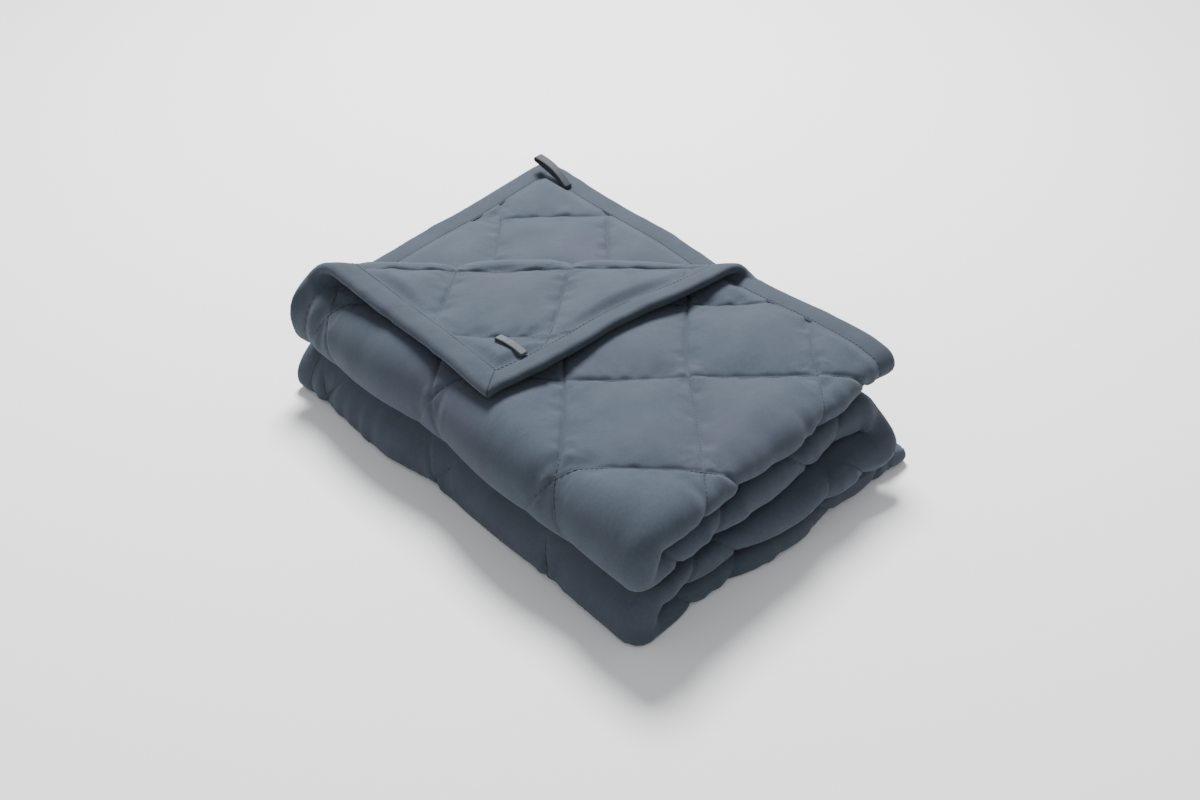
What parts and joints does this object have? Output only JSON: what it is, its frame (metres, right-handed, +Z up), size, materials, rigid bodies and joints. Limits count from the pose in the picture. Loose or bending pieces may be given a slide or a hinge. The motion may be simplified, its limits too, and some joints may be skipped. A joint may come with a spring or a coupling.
{
  "type": "folded weighted blanket",
  "caption": "Quilted weighted blanket with bound edges and ribbon corner loops, folded into a stack with one corner turned back.",
  "frame": {"origin": "middle of the folded stack's footprint, on the surface it rests on", "axes": "+X along the stack's long side, towards the closed fold of the blanket's length; +Y towards the side with the free edges; +Z up"},
  "size_m": [0.4744, 0.3318, 0.149],
  "materials": {
    "quilt": "matt brushed weave, slate blue",
    "binding": "matt brushed weave, slate blue",
    "loop_light": "matt ribbon, grey",
    "loop_dark": "matt ribbon, near-black navy"
  },
  "bodies": {
    "root": {"quilt": "quilt", "binding_head": "binding", "binding_foot": "binding", "binding_top_side": "binding", "binding_under_side": "binding", "loop_turned_corner": "loop_light", "loop_back_corner": "loop_dark"}
  },
  "joints": []
}
